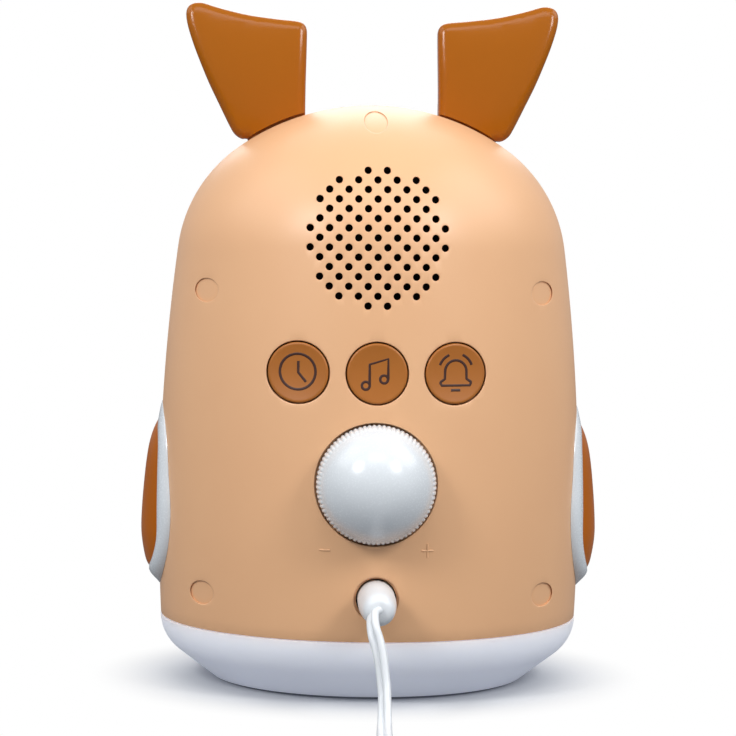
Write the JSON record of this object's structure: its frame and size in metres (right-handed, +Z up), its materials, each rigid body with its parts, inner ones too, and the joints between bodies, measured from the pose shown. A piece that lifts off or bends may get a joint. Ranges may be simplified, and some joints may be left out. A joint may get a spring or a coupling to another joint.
{
  "type": "kids alarm clock with night light",
  "caption": "Dome-shaped children's alarm clock with folded dog ears, side arms, a milky light base, rear speaker grille, push-buttons, volume knob and a plug-in power lead.",
  "frame": {"origin": "on the body's upright axis, on the underside of the base pad, where the clock stands", "axes": "+Z up, the face with its display toward -Y, the back with the controls toward +Y, +X to the left as seen from behind"},
  "size_m": [0.1226, 0.2424, 0.1812],
  "materials": {
    "shell_peach": "moulded ABS, satin to gloss, peach",
    "ear_brown": "moulded ABS, gloss, caramel brown",
    "button_brown": "moulded ABS, satin, light brown, with darker printed symbols",
    "arm_brown": "moulded ABS, satin, deep caramel brown",
    "painted_steel": "pressed steel, painted black",
    "white_plastic": "moulded ABS, gloss, white",
    "base_milky": "milky polypropylene light diffuser, unlit",
    "pad_grey": "matt grey silicone pad",
    "lead_white": "white PVC sheath, satin",
    "black_plastic": "moulded ABS, gloss, black",
    "window_smoke": "smoked acrylic, polished",
    "board_green": "glass-epoxy board with green solder mask",
    "chip_black": "black epoxy and housings",
    "steel": "plated steel",
    "contact_brass": "sprung contact plate",
    "lamp_yellow": "phosphor-coated lamp bodies",
    "ferrite": "dark ferrite",
    "cone_black": "coated paper cone",
    "foam": "foam sealing ring",
    "wire": "insulated wire"
  },
  "bodies": {
    "root": {"front_shell": "shell_peach", "rear_shell": "shell_peach", "chassis_plate": "white_plastic", "base_bowl": "base_milky", "base_pad": "pad_grey", "base_screws": "steel", "coin_cell": "steel", "cell_contact": "contact_brass", "light_board": "white_plastic", "night_lamps": "lamp_yellow", "ear_left": "ear_brown", "ear_right": "ear_brown", "arm_rim_left": "white_plastic", "arm_rim_right": "white_plastic", "arm_pad_left": "arm_brown", "arm_pad_right": "arm_brown", "shell_screws": "steel", "screw_plugs": "shell_peach", "eyes": "black_plastic", "muzzle": "white_plastic", "nose": "black_plastic", "display_window": "window_smoke", "display_module": "chip_black", "display_board": "board_green", "display_screws": "steel", "main_board": "board_green", "board_screws": "steel", "board_chips": "chip_black", "button_switches": "chip_black", "volume_pot": "steel", "speaker_frame": "painted_steel", "speaker_cone": "cone_black", "speaker_magnet": "ferrite", "speaker_ring": "foam", "power_jack": "chip_black", "jack_pin": "steel", "power_leads": "wire", "speaker_leads": "wire", "display_cable": "wire", "light_leads": "wire"},
    "button_clock": {"button_clock": "button_brown"},
    "button_music": {"button_music": "button_brown"},
    "button_alarm": {"button_alarm": "button_brown"},
    "volume": {"volume_shaft": "white_plastic", "volume_knob": "white_plastic"},
    "cell_cover": {"cell_cover": "base_milky"},
    "power_lead": {"dc_plug": "lead_white", "plug_barrel": "steel", "lead_cord": "lead_white", "cord_coil": "lead_white", "lead_tail": "lead_white", "usb_grip": "lead_white", "usb_shell": "steel"}
  },
  "joints": [
    {"name": "clock_press", "type": "slide", "parent": "root", "child": "button_clock", "axis": [0, -1, 0], "range_m": [0, 0.0008], "stiffness_N_per_m": 1200, "springref_m": -0.0005},
    {"name": "music_press", "type": "slide", "parent": "root", "child": "button_music", "axis": [0, -1, 0], "range_m": [0, 0.0008], "stiffness_N_per_m": 1200, "springref_m": -0.0005},
    {"name": "alarm_press", "type": "slide", "parent": "root", "child": "button_alarm", "axis": [0, -1, 0], "range_m": [0, 0.0008], "stiffness_N_per_m": 1200, "springref_m": -0.0005},
    {"name": "volume_turn", "type": "hinge", "parent": "root", "child": "volume", "pos_m": [0, 0, 0.0568], "axis": [0, -1, 0], "range_deg": [-150, 150]},
    {"name": "cover_turn", "type": "hinge", "parent": "root", "child": "cell_cover", "pos_m": [0, -0.022, 0], "axis": [0, 0, -1], "range_deg": [0, 45]},
    {"name": "plug_pull", "type": "slide", "parent": "root", "child": "power_lead", "axis": [0, 1, 0], "range_m": [0, 0.012]}
  ]
}
